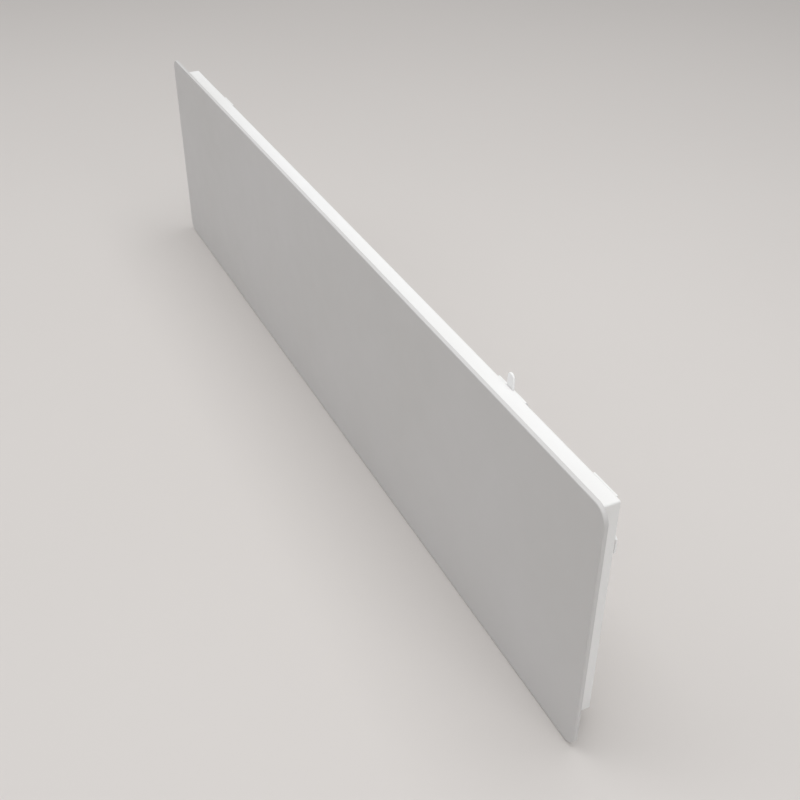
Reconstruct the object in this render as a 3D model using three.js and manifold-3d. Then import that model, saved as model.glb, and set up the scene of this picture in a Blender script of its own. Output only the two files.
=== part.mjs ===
// Wall-hung infrared panel heater: a flat front plate, a case behind it and a wall bracket.
// Millimetres. X runs right along the plate, Y into the wall, Z up.
// The origin is the middle of the wall rail's back face, so the wall is the plane y = 0.
import * as THREE from "three";
import { mergeVertices } from "three/addons/utils/BufferGeometryUtils.js";
import Module from "manifold-3d";

const wasm = await Module();
wasm.setup();

// ---- driving dimensions ----
const fit = 0.3; // clearance between pieces that are cut for each other
const wallGap = 28; // case back to wall
const heaterDepth = 33; // plate front to case back

const plateWidth = 1200;
const plateHeight = 294;
const plateRim = 4.5; // depth of the folded rim
const plateSheet = 1.5;
const plateCorner = 16;
const plateEdge = 1.2; // rounding of the front edge
const plateAboveRail = 104; // plate top above the rail's middle

const caseSideInset = 23; // case end in from the plate's end
const caseEdgeInset = 17; // case top and bottom in from the plate's
const caseSheet = 1.2;
const caseCorner = 2;
const caseFlange = 10;
const gasketThickness = 0.8;
const gasketWidth = 8;

const matMargin = 12; // mat edge in from the case's flange
const matThickness = 1;
const foilThickness = 0.5;
const boardThickness = 20;
const busWidth = 8;
const busThickness = 0.4;
const busMargin = 5; // bus strip in from the mat's edge

const postColumns = 3;
const postFromEnd = 127; // outer column in from the case's end
const postEdge = 15; // post centre in from the case's top or bottom edge
const postRadius = 4;
const postBore = 2.1;
const screwRadius = 1.95;
const screwLength = 9;
const screwHeadRadius = 4;
const screwHeadHeight = 2.4;
const screwSlot = 1;

const railFromEnd = 30; // rail end in from the case's end
const railHeight = 27;
const railSheet = 2;
const railLip = 4;
const railLipFromEnd = 20; // the lips stop this far short of the rail's end
const railCorner = 6; // cut across the end's corners
const railHoleRadius = 2.75;
const railHolesFromEnd = 87; // a pair's middle in from the rail's end
const railHolePairGap = 40; // between the two holes of a pair

const armSheet = 2;
const armRise = 55.5; // hook arm top above the rail's middle
const armAboveLip = 1; // arm bottom above the rail's lower lip
const hookArmWidth = 36;
const leftHookFromEnd = 67; // hook arm's middle in from the case's end
const rightHookFromEnd = 54;
const lockArmWidth = 50;
const lockArmFromEnd = 179; // lock arm's middle in from the case's right end
const lockPlateRise = 45; // its back plate's top above the rail's middle
const lockLipFoot = 44; // bottom of its front lips above the rail's middle
const lockLipDrop = 1.2; // their top under the case's top
const lockLipSlot = 0.4; // lip to lever on each side

const liftTravel = 9; // how far the heater is lifted to clear its hooks
const hookThroat = 40; // bottom of the notch that carries the case, above the rail's middle
const hookNeck = 9; // height of the hook under the notch
const hookTip = 7; // height of the tip above the notch
const hookReach = 6.8; // tip length inside the case
const slotSide = 1; // gap on each side of a hook in its slot

const pinRadius = 2;
const pinBore = 0.1; // running clearance round the lock pin
const pinHead = 1.2; // its thickness, and how far it stands out round the pin
const pinInFromWall = 15.5;
const pinHeight = 38;
const leverOffset = 3; // lever left of the lock arm's middle
const leverWidth = 10.6;
const tongueThickness = 2.3;
const tongueRise = 15; // tongue above the case's top
const barrelRadius = 5;
const barrelSide = 1.5; // barrel beyond the lever's side
const limbThickness = 3;
const shoulderSide = 2; // shoulder behind the lips, beyond the lever's side
const shoulderDepth = 2.5;
const noseAbovePin = 22; // underside of the nose above the pin
const noseHeight = 8;
const noseReach = 5.8; // nose tip inside the case
const noseTipHeight = 3;
const noseCatch = 1; // catch under the tip, which keeps a lifted case from pushing the nose out
const noseSlotSide = 1.2;
const noseSlotBelow = 5.2; // play under the nose

const springWire = 0.9;
const springTurns = 5;
const springRadius = 3.4; // to the wire's middle
const springPitch = 1.45;
const springLeg = 12;
const springHook = 4; // how far the upper leg reaches behind the limb
const springSeat = 0.1;

const rivetRadius = 1.6;
const rivetHeadRadius = 3.2;
const rivetHeadHeight = 1.2;
const rivetInset = 8; // rivet in from an arm's side

const boxWidth = 120;
const boxHeight = 90;
const boxDepth = 20;
const boxWall = 2;
const boxFromEnd = 37; // box side in from the case's right end
const boxFromBottom = 33; // box bottom above the case's bottom
const lidThickness = 2;
const lidScrewInset = 7;
const lidBossRadius = 3.6;
const lidScrewRadius = 1.4;
const lidScrewHeadRadius = 2.8;
const lidScrewHeadHeight = 1.6;
const lidScrewLength = 8;
const leadHoleRadius = 7;

const glandHex = 7.6; // across corners, half
const glandThread = 5.6;
const glandBore = 3.6;
const glandFlange = 4;
const glandNutHeight = 9;
const glandFromSide = 56; // gland's middle from the box's left side
const glandThreadLength = 8;

const switchHeight = 19;
const switchDepth = 12;
const switchBody = 12;
const switchBezel = 1.5; // bezel beyond the body, and its thickness
const switchBelowTop = 40; // switch middle below the box's top
const rockerGap = 0.35;
const rockerThickness = 4.6;
const rockerTilt = 7; // degrees each side of middle

const terminalWidth = 30;
const terminalHeight = 16;
const terminalDepth = 12;
const terminalBore = 1.9;

const cutoutCount = 2;
const cutoutFromEnd = 297; // outer cut-outs in from the case's ends
const cutoutRadius = 8;
const cutoutHeight = 9;
const bladeLength = 7;
const bladeWidth = 4;
const bladeThickness = 0.8;
const bladeOffset = 4.5;

const leadRadius = 1.3;
const leadSides = 8;
const leadLayer = 4.6; // lead's middle in from the case's back sheet
const matLeadRun = 96; // sideways from the last cut-out to where the lead meets its bus strip
const neutralLeadRun = 76; // the same, from the lead hole
const leadTurn = 6; // where a lead turns down to a bus strip

const spacerRadius = 11;
const spacerWaist = 8;
const spacerStud = 2.9;
const spacerFromEnd = 197; // spacer in from the case's end

// ---- levels worked out from them ----
const caseBackY = -wallGap;
const caseInnerY = caseBackY - caseSheet;
const plateFrontY = caseBackY - heaterDepth;
const plateInnerY = plateFrontY + plateSheet;
const plateRimY = plateFrontY + plateRim;
const plateTop = plateAboveRail;
const plateMiddle = plateTop - plateHeight / 2;
const caseTop = plateTop - caseEdgeInset;
const caseBottom = plateTop - plateHeight + caseEdgeInset;
const caseWidth = plateWidth - 2 * caseSideInset;
const caseHeight = caseTop - caseBottom;
const caseMiddle = (caseTop + caseBottom) / 2;
const caseFrontY = plateInnerY + gasketThickness;
const matWidth = caseWidth - 2 * (caseFlange + matMargin);
const matHeight = caseHeight - 2 * (caseFlange + matMargin);
const matBackY = plateInnerY + matThickness;
const foilHeight = matHeight - 2 * (2 * busMargin + busWidth);
const foilBackY = matBackY + foilThickness;
const boardBackY = foilBackY + boardThickness;
const armFrontY = -railSheet - armSheet;
const armFoot = railHeight / 2 - railSheet - armAboveLip;
const hookPlaces = [leftHookFromEnd - caseWidth / 2, caseWidth / 2 - rightHookFromEnd];
const lockArmX = caseWidth / 2 - lockArmFromEnd;
const lipFrontY = caseBackY + fit;
const lipBackY = lipFrontY + armSheet;
const lipTop = caseTop - lockLipDrop;
const leverX = lockArmX - leverOffset;
const noseFoot = pinHeight + noseAbovePin;
const noseTop = noseFoot + noseHeight;
const railHalf = caseWidth / 2 - railFromEnd;
const spacerX = caseWidth / 2 - spacerFromEnd;
const armPlaces = [
  { x: hookPlaces[0], width: hookArmWidth },
  { x: hookPlaces[1], width: hookArmWidth },
  { x: lockArmX, width: lockArmWidth },
];
const postPlaces = [];
const postHalf = caseWidth / 2 - postFromEnd;
for (let column = 0; column < postColumns; column++) {
  const x = -postHalf + (2 * postHalf * column) / (postColumns - 1);
  postPlaces.push([x, caseTop - postEdge], [x, caseBottom + postEdge]);
}
const boxRight = caseWidth / 2 - boxFromEnd;
const boxLeft = boxRight - boxWidth;
const boxBottom = caseBottom + boxFromBottom;
const boxTop = boxBottom + boxHeight;
const boxBackY = caseBackY + boxDepth;
const boxFloorY = caseBackY + boxWall;
const boxMiddleZ = (boxTop + boxBottom) / 2;
const switchZ = boxTop - switchBelowTop;
const switchY = (boxFloorY + boxBackY) / 2;
const glandX = boxLeft + glandFromSide;
const glandY = (caseBackY + boxBackY) / 2;
const leadHole = [boxLeft + 18, boxTop - 14];
const leadY = caseInnerY - leadLayer;
const cutoutPlaces = [];
const cutoutHalf = caseWidth / 2 - cutoutFromEnd;
for (let i = 0; i < cutoutCount; i++) {
  const x = cutoutHalf - (2 * cutoutHalf * i) / (cutoutCount - 1);
  cutoutPlaces.push([x, caseMiddle]);
}
const terminalX = boxLeft + 62;
const terminalZ = boxBottom + 30;
const earthPlace = [boxLeft + 24, boxBottom + 40];

// ---- geometry helpers ----
function closed(geometry) {
  const bare = geometry.clone();
  bare.deleteAttribute("normal");
  if (bare.getAttribute("uv")) bare.deleteAttribute("uv");
  return mergeVertices(bare, 1e-4);
}

// Turns a closed geometry into a solid, with its faces pointing out.
function solid(geometry) {
  const merged = closed(geometry);
  const points = merged.getAttribute("position").array;
  const index = Array.from(merged.index.array);
  let volume = 0;
  for (let i = 0; i < index.length; i += 3) {
    const [a, b, c] = [index[i], index[i + 1], index[i + 2]].map(
      (v) => new THREE.Vector3().fromArray(points, 3 * v),
    );
    volume += a.dot(b.cross(c));
  }
  if (volume < 0) index.reverse();
  return new wasm.Manifold(
    new wasm.Mesh({
      numProp: 3,
      vertProperties: new Float32Array(points),
      triVerts: new Uint32Array(index),
    }),
  );
}

function join(...parts) {
  return parts.reduce((sum, part) => sum.add(part));
}

function cut(body, ...tools) {
  return tools.reduce((rest, tool) => rest.subtract(tool), body);
}

function slab(x0, x1, y0, y1, z0, z1) {
  const box = new THREE.BoxGeometry(x1 - x0, y1 - y0, z1 - z0);
  box.translate((x0 + x1) / 2, (y0 + y1) / 2, (z0 + z1) / 2);
  return solid(box);
}

function outline(points) {
  return new THREE.Shape(points.map(([u, v]) => new THREE.Vector2(u, v)));
}

// A rectangle with round corners, centred at (cx, cy).
function roundRectangle(cx, cy, width, height, radius) {
  const shape = new THREE.Shape();
  const [u, v] = [width / 2 - radius, height / 2 - radius];
  shape.absarc(cx + u, cy + v, radius, 0, Math.PI / 2);
  shape.absarc(cx - u, cy + v, radius, Math.PI / 2, Math.PI);
  shape.absarc(cx - u, cy - v, radius, Math.PI, 1.5 * Math.PI);
  shape.absarc(cx + u, cy - v, radius, 1.5 * Math.PI, 2 * Math.PI);
  shape.closePath();
  return shape;
}

const plain = { bevelEnabled: false };

// An outline drawn in X and Z, from the front level y0 to the back level y1.
function alongY(shape, y0, y1, curveSegments = 6) {
  const geometry = new THREE.ExtrudeGeometry(shape, { ...plain, depth: y1 - y0, curveSegments });
  geometry.rotateX(Math.PI / 2);
  geometry.translate(0, y1, 0);
  return solid(geometry);
}

// An outline drawn in Y and Z, from x0 to x1.
function alongX(points, x0, x1) {
  const geometry = new THREE.ExtrudeGeometry(outline(points), { ...plain, depth: x1 - x0 });
  const turn = new THREE.Matrix4().makeBasis(
    new THREE.Vector3(0, 1, 0),
    new THREE.Vector3(0, 0, 1),
    new THREE.Vector3(1, 0, 0),
  );
  geometry.applyMatrix4(turn);
  geometry.translate(x0, 0, 0);
  return solid(geometry);
}

// A slab with round corners and one face's edge rounded; its other face has a square edge.
function roundedPan(cx, cz, width, height, corner, edge, y0, y1, roundAtFront) {
  const shape = roundRectangle(cx, cz, width - 2 * edge, height - 2 * edge, corner - edge);
  const depth = y1 - y0;
  const geometry = new THREE.ExtrudeGeometry(shape, {
    depth,
    bevelEnabled: true,
    bevelThickness: edge,
    bevelSize: edge,
    bevelSegments: 3,
    curveSegments: 8,
  });
  geometry.rotateX(Math.PI / 2);
  geometry.translate(0, roundAtFront ? y1 + edge : y1 - edge, 0);
  const body = solid(geometry);
  const [far, wide] = [depth + 10, Math.max(width, height)];
  const spare = roundAtFront
    ? slab(cx - wide, cx + wide, y1, y1 + far, cz - wide, cz + wide)
    : slab(cx - wide, cx + wide, y0 - far, y0, cz - wide, cz + wide);
  return body.subtract(spare);
}

// A turned piece about an axis along Y at (x, z); the profile lists [radius, y].
function turned(profile, x, z, sides = 20) {
  const points = profile.map(([r, y]) => new THREE.Vector2(r, y));
  const geometry = new THREE.LatheGeometry(points, sides);
  geometry.translate(x, 0, z);
  return solid(geometry);
}

function rodY(radius, x, z, y0, y1, sides = 20) {
  const geometry = new THREE.CylinderGeometry(radius, radius, y1 - y0, sides);
  geometry.translate(x, (y0 + y1) / 2, z);
  return solid(geometry);
}

function rodX(radius, y, z, x0, x1, sides = 20) {
  const geometry = new THREE.CylinderGeometry(radius, radius, x1 - x0, sides);
  geometry.rotateZ(Math.PI / 2);
  geometry.translate((x0 + x1) / 2, y, z);
  return solid(geometry);
}

function rodZ(radius, x, y, z0, z1, sides = 20) {
  const geometry = new THREE.CylinderGeometry(radius, radius, z1 - z0, sides);
  geometry.rotateX(Math.PI / 2);
  geometry.translate(x, y, (z0 + z1) / 2);
  return solid(geometry);
}

// A round wire through the given points, with smooth bends.
function wire(points, radius, sides, steps) {
  const ring = [];
  for (let i = 0; i < sides; i++) {
    const angle = (2 * Math.PI * i) / sides;
    ring.push([radius * Math.cos(angle), radius * Math.sin(angle)]);
  }
  const path = { extrudePath: routeThrough(points), steps };
  return new THREE.ExtrudeGeometry(outline(ring), path);
}

// A curve stepped evenly from point to point, so that a bend gets as many steps as a long run.
class Route extends THREE.CatmullRomCurve3 {
  getPointAt(u) {
    return this.getPoint(u);
  }

  getTangentAt(u) {
    return this.getTangent(u);
  }
}

function routeThrough(points) {
  return new Route(points.map((p) => new THREE.Vector3(...p)), false, "centripetal");
}

// ---- finishes ----
const finishes = {
  whitePowderCoat: { color: 0xefeeec, roughness: 0.6, metalness: 0 },
  whitePlastic: { color: 0xe9e8e5, roughness: 0.45, metalness: 0 },
  blackPlastic: { color: 0x2a2a2b, roughness: 0.5, metalness: 0 },
  zincSteel: { color: 0xb9bcc0, roughness: 0.4, metalness: 1 },
  copper: { color: 0xb87350, roughness: 0.35, metalness: 1 },
  foil: { color: 0xd6d8da, roughness: 0.25, metalness: 1 },
  mineralWool: { color: 0xa8996f, roughness: 1, metalness: 0 },
  silicone: { color: 0x7c3a2c, roughness: 0.7, metalness: 0 },
  greyRubber: { color: 0x7d7d7b, roughness: 0.85, metalness: 0 },
  brownLead: { color: 0x5b3a26, roughness: 0.6, metalness: 0 },
  blueLead: { color: 0x2f5c93, roughness: 0.6, metalness: 0 },
  greenLead: { color: 0x4b8a3a, roughness: 0.6, metalness: 0 },
};

const heater = new THREE.Group();

function add(name, body, finish) {
  let geometry = body;
  if (!body.isBufferGeometry) {
    const mesh = body.getMesh();
    geometry = new THREE.BufferGeometry();
    geometry.setAttribute("position", new THREE.BufferAttribute(mesh.vertProperties, 3));
    geometry.setIndex(new THREE.BufferAttribute(mesh.triVerts, 1));
    geometry.computeVertexNormals();
  }
  const mesh = new THREE.Mesh(geometry, new THREE.MeshStandardMaterial(finishes[finish]));
  mesh.name = name;
  heater.add(mesh);
}

// ---- front plate: a shallow tray with a folded rim ----
function frontPlate() {
  const tray = roundedPan(
    0, plateMiddle, plateWidth, plateHeight, plateCorner, plateEdge, plateFrontY, plateRimY, true,
  );
  const hollow = roundRectangle(
    0, plateMiddle, plateWidth - 2 * plateSheet, plateHeight - 2 * plateSheet,
    plateCorner - plateSheet,
  );
  return cut(tray, alongY(hollow, plateInnerY, plateRimY + 1, 8));
}
add("front_plate", frontPlate(), "whitePowderCoat");

// ---- layers behind the plate, each pierced for the cut-outs ----
function layer(width, height, y0, y1, holeRadius) {
  const sheet = slab(-width / 2, width / 2, y0, y1, caseMiddle - height / 2, caseMiddle + height / 2);
  return cut(sheet, ...cutoutPlaces.map(([x, z]) => rodY(holeRadius, x, z, y0 - 1, y1 + 1)));
}
const mat = slab(
  -matWidth / 2, matWidth / 2, plateInnerY, matBackY,
  caseMiddle - matHeight / 2, caseMiddle + matHeight / 2,
);
add("heating_mat", mat, "silicone");
for (const [name, side] of [["bus_strip_upper", 1], ["bus_strip_lower", -1]]) {
  const z = caseMiddle + side * (matHeight / 2 - busMargin - busWidth / 2);
  const half = matWidth / 2 - busMargin;
  const strip = slab(-half, half, matBackY, matBackY + busThickness, z - busWidth / 2, z + busWidth / 2);
  add(name, strip, "copper");
}
const foil = layer(matWidth, foilHeight, matBackY, foilBackY, cutoutRadius + 1);
add("foil_sheet", foil, "foil");
const board = layer(matWidth, foilHeight, foilBackY, boardBackY, cutoutRadius + 2);
add("insulation_board", board, "mineralWool");

// ---- gasket and rear case ----
function gasket() {
  const outer = roundRectangle(0, caseMiddle, caseWidth, caseHeight, caseCorner);
  const inner = roundRectangle(
    0, caseMiddle, caseWidth - 2 * gasketWidth, caseHeight - 2 * gasketWidth, caseCorner,
  );
  return cut(alongY(outer, plateInnerY, caseFrontY), alongY(inner, plateInnerY - 1, caseFrontY + 1));
}
add("case_gasket", gasket(), "greyRubber");

function rearCase() {
  const shell = roundedPan(
    0, caseMiddle, caseWidth, caseHeight, caseCorner, caseSheet, caseFrontY, caseBackY, false,
  );
  const room = slab(
    -caseWidth / 2 + caseSheet, caseWidth / 2 - caseSheet, caseFrontY + caseSheet, caseInnerY,
    caseBottom + caseSheet, caseTop - caseSheet,
  );
  const mouth = slab(
    -caseWidth / 2 + caseFlange, caseWidth / 2 - caseFlange, caseFrontY - 1, caseFrontY + caseSheet + 1,
    caseBottom + caseFlange, caseTop - caseFlange,
  );
  const [front, back] = [caseInnerY - 1, caseBackY + 1];
  const holes = postPlaces.map(([x, z]) => rodY(screwRadius + fit, x, z, front, back, 16));
  for (const place of hookPlaces) {
    for (const side of [-1, 1]) {
      const x = place + side * (hookArmWidth - armSheet) / 2;
      const half = armSheet / 2 + slotSide;
      const low = hookThroat - hookNeck - liftTravel - 1.5;
      holes.push(slab(x - half, x + half, front, back, low, hookThroat + fit));
    }
  }
  const noseHalf = leverWidth / 2 + noseSlotSide;
  holes.push(slab(
    leverX - noseHalf, leverX + noseHalf, front, back, noseFoot - noseSlotBelow, noseTop + 2 * fit,
  ));
  holes.push(rodY(leadHoleRadius, leadHole[0], leadHole[1], front, back));
  holes.push(rodY(screwRadius + fit, earthPlace[0], earthPlace[1], front, back, 16));
  for (const side of [-1, 1]) {
    holes.push(rodY(spacerStud + fit, side * spacerX, caseBottom + postEdge, front, back, 16));
  }
  return cut(shell, room, mouth, ...holes);
}
add("rear_case", rearCase(), "whitePowderCoat");

// ---- posts on the plate, and the screws that draw the case to them ----
function post(x, z) {
  return cut(
    rodY(postRadius, x, z, plateInnerY, caseInnerY, 12),
    rodY(postBore, x, z, caseInnerY - screwLength - 2, caseInnerY + 1, 10),
  );
}

// A domed head on a plain shank, with a crossed driver slot, along Y with its head towards +Y.
function crossScrew(x, z, seatY, radius, length, headRadius, headHeight) {
  const dome = [[0, seatY - length], [radius, seatY - length], [radius, seatY], [headRadius, seatY]];
  dome.push([headRadius, seatY + headHeight * 0.45]);
  dome.push([headRadius * 0.8, seatY + headHeight * 0.85]);
  dome.push([headRadius * 0.4, seatY + headHeight]);
  dome.push([0, seatY + headHeight]);
  const [arm, half] = [headRadius * 0.55, screwSlot / 2];
  const [y0, y1] = [seatY + headHeight * 0.4, seatY + headHeight + 1];
  return cut(
    turned(dome, x, z, 12),
    slab(x - arm, x + arm, y0, y1, z - half, z + half),
    slab(x - half, x + half, y0, y1, z - arm, z + arm),
  );
}
postPlaces.forEach(([x, z], i) => {
  add(`case_post_${i + 1}`, post(x, z), "zincSteel");
  const screw = crossScrew(
    x, z, caseBackY, screwRadius, screwLength, screwHeadRadius, screwHeadHeight,
  );
  add(`case_screw_${i + 1}`, screw, "zincSteel");
});

// ---- connection box low on the back, with its lid ----
const lidScrewPlaces = [
  [boxLeft + lidScrewInset, boxTop - lidScrewInset],
  [boxRight - lidScrewInset, boxBottom + lidScrewInset],
];

function connectionBox() {
  const shell = slab(boxLeft, boxRight, caseBackY, boxBackY, boxBottom, boxTop);
  const room = slab(
    boxLeft + boxWall, boxRight - boxWall, boxFloorY, boxBackY + 1, boxBottom + boxWall, boxTop - boxWall,
  );
  let body = cut(shell, room);
  for (const [x, z] of lidScrewPlaces) {
    body = join(body, rodY(lidBossRadius, x, z, caseBackY + boxWall / 2, boxBackY, 16));
  }
  const pilots = lidScrewPlaces.map(([x, z]) => rodY(
    lidScrewRadius + 0.1, x, z, boxBackY - lidScrewLength, boxBackY + 1, 12,
  ));
  return cut(
    body,
    ...pilots,
    rodY(leadHoleRadius, leadHole[0], leadHole[1], caseBackY - 1, boxFloorY + 1),
    rodY(screwRadius + fit, earthPlace[0], earthPlace[1], caseBackY - 1, boxFloorY + 1, 16),
    rodZ(glandThread + fit, glandX, glandY, boxBottom - 1, boxBottom + boxWall + 1),
    slab(
      boxRight - boxWall - 1, boxRight + 1, switchY - switchDepth / 2 - fit, switchY + switchDepth / 2 + fit,
      switchZ - switchHeight / 2 - fit, switchZ + switchHeight / 2 + fit,
    ),
  );
}
add("connection_box", connectionBox(), "whitePlastic");

function connectionLid() {
  const shape = roundRectangle(
    (boxLeft + boxRight) / 2, boxMiddleZ, boxWidth, boxHeight, 1.5,
  );
  const holes = lidScrewPlaces.map(([x, z]) => rodY(
    lidScrewRadius + fit, x, z, boxBackY - 1, boxBackY + lidThickness + 1, 12,
  ));
  return cut(alongY(shape, boxBackY, boxBackY + lidThickness), ...holes);
}
add("connection_lid", connectionLid(), "whitePlastic");
lidScrewPlaces.forEach(([x, z], i) => {
  const screw = crossScrew(
    x, z, boxBackY + lidThickness, lidScrewRadius, lidScrewLength + lidThickness - 1,
    lidScrewHeadRadius, lidScrewHeadHeight,
  );
  add(`lid_screw_${i + 1}`, screw, "zincSteel");
});

// ---- cable gland in the box's bottom: the heater's supply inlet ----
function hexPrism(x, y, z0, z1) {
  return rodZ(glandHex, x, y, z0, z1, 6);
}
const bore = (z0, z1) => rodZ(glandBore, glandX, glandY, z0 - 1, z1 + 1, 16);
const glandLow = boxBottom - glandFlange;
const threadTop = boxBottom + glandThreadLength;
const threadLow = glandLow - glandNutHeight * 0.6;
const glandBody = cut(
  join(
    hexPrism(glandX, glandY, glandLow, boxBottom),
    rodZ(glandThread, glandX, glandY, threadLow, threadTop),
  ),
  bore(threadLow, threadTop),
);
add("gland_body", glandBody, "greyRubber");
const nutLow = glandLow - fit - glandNutHeight;
const glandNut = cut(
  join(
    hexPrism(glandX, glandY, nutLow + 3, glandLow - fit),
    rodZ(glandThread, glandX, glandY, nutLow, nutLow + 4),
  ),
  rodZ(glandThread + fit, glandX, glandY, threadLow - fit, glandLow + 1),
  bore(nutLow, glandLow),
);
add("gland_nut", glandNut, "greyRubber");
const locknutLow = boxBottom + boxWall;
const locknut = cut(
  hexPrism(glandX, glandY, locknutLow, locknutLow + 3),
  rodZ(glandThread + fit, glandX, glandY, locknutLow - 1, locknutLow + 4),
);
add("gland_locknut", locknut, "greyRubber");

// ---- power switch in the box's right side ----
const bezelX = boxRight + switchBezel;
const rockerPivotX = boxRight - rockerThickness / 2;
function switchHousing() {
  const [halfY, halfZ] = [switchDepth / 2, switchHeight / 2];
  const body = slab(
    boxRight - switchBody, boxRight + switchBezel / 2, switchY - halfY, switchY + halfY,
    switchZ - halfZ, switchZ + halfZ,
  );
  const bezel = slab(
    boxRight, bezelX, switchY - halfY - switchBezel, switchY + halfY + switchBezel,
    switchZ - halfZ - switchBezel, switchZ + halfZ + switchBezel,
  );
  const window = slab(
    boxRight - switchBody + boxWall, bezelX + 1, switchY - halfY + boxWall, switchY + halfY - boxWall,
    switchZ - halfZ + boxWall, switchZ + halfZ - boxWall,
  );
  return cut(join(body, bezel), window);
}
add("switch_housing", switchHousing(), "blackPlastic");

function rocker() {
  const halfY = switchDepth / 2 - boxWall - rockerGap;
  const halfZ = switchHeight / 2 - boxWall - 2 * rockerGap;
  const reach = halfZ * Math.sin((rockerTilt * Math.PI) / 180);
  const face = bezelX + reach * 0.6;
  const points = [];
  const lift = reach * 0.9;
  for (const t of [-1, 0, 1]) points.push([face + lift * Math.abs(t) - lift, t * halfZ]);
  const keel = [
    [rockerPivotX, halfZ], [rockerPivotX - rockerThickness / 2, 0], [rockerPivotX, -halfZ],
  ];
  const section = [...points, ...keel];
  const geometry = new THREE.ExtrudeGeometry(outline(section), { ...plain, depth: 2 * halfY });
  geometry.rotateX(Math.PI / 2);
  geometry.translate(0, halfY, 0);
  const tilt = new THREE.Matrix4()
    .makeTranslation(rockerPivotX, switchY, switchZ)
    .multiply(new THREE.Matrix4().makeRotationY((-rockerTilt * Math.PI) / 180))
    .multiply(new THREE.Matrix4().makeTranslation(-rockerPivotX, 0, 0));
  geometry.applyMatrix4(tilt);
  return solid(geometry);
}
add("power_rocker", rocker(), "blackPlastic");

// ---- terminal block and earth screw on the box's floor ----
function terminalBlock() {
  const [halfX, halfZ] = [terminalWidth / 2, terminalHeight / 2];
  const block = slab(
    terminalX - halfX, terminalX + halfX, boxFloorY, boxFloorY + terminalDepth,
    terminalZ - halfZ, terminalZ + halfZ,
  );
  const poles = [-1, 0, 1].map((n) => terminalX + (n * terminalWidth) / 3);
  const cuts = [];
  for (const x of poles) {
    const y = boxFloorY + terminalDepth / 2;
    cuts.push(rodZ(terminalBore, x, y, terminalZ - halfZ - 1, terminalZ + halfZ + 1, 12));
    cuts.push(rodY(terminalBore, x, terminalZ, y, boxFloorY + terminalDepth + 1, 12));
  }
  return cut(block, ...cuts);
}
add("terminal_block", terminalBlock(), "whitePlastic");
const earthScrew = crossScrew(
  earthPlace[0], earthPlace[1], boxFloorY, screwRadius, screwLength, screwHeadRadius, screwHeadHeight,
);
add("earth_screw", earthScrew, "zincSteel");

// ---- thermal cut-outs standing on the mat, in wells in the board ----
function cutout(x, z) {
  const can = turned(
    [[0, matBackY], [cutoutRadius, matBackY], [cutoutRadius, matBackY + cutoutHeight * 0.45],
      [cutoutRadius - 1, matBackY + cutoutHeight * 0.5], [cutoutRadius - 1, matBackY + cutoutHeight],
      [0, matBackY + cutoutHeight]],
    x, z, 24,
  );
  const top = matBackY + cutoutHeight;
  const blades = [-1, 1].map((side) => slab(
    x + side * bladeOffset - bladeThickness / 2, x + side * bladeOffset + bladeThickness / 2,
    top - 1, top + bladeLength, z - bladeWidth / 2, z + bladeWidth / 2,
  ));
  return join(can, ...blades);
}
cutoutPlaces.forEach(([x, z], i) => add(`thermal_cutout_${i + 1}`, cutout(x, z), "blackPlastic"));

// ---- inner leads ----
const bladeTopY = matBackY + cutoutHeight + bladeLength;
const bladeX = (place, side) => cutoutPlaces[place][0] + side * bladeOffset;
const terminalTop = terminalZ + terminalHeight / 2 + fit;
const switchBackX = boxRight - switchBody - fit;
const floorLead = boxFloorY + terminalDepth / 2;
const pole = (n) => terminalX + (n * terminalWidth) / 3;
const busZ = matHeight / 2 - busMargin - busWidth / 2;

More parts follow.
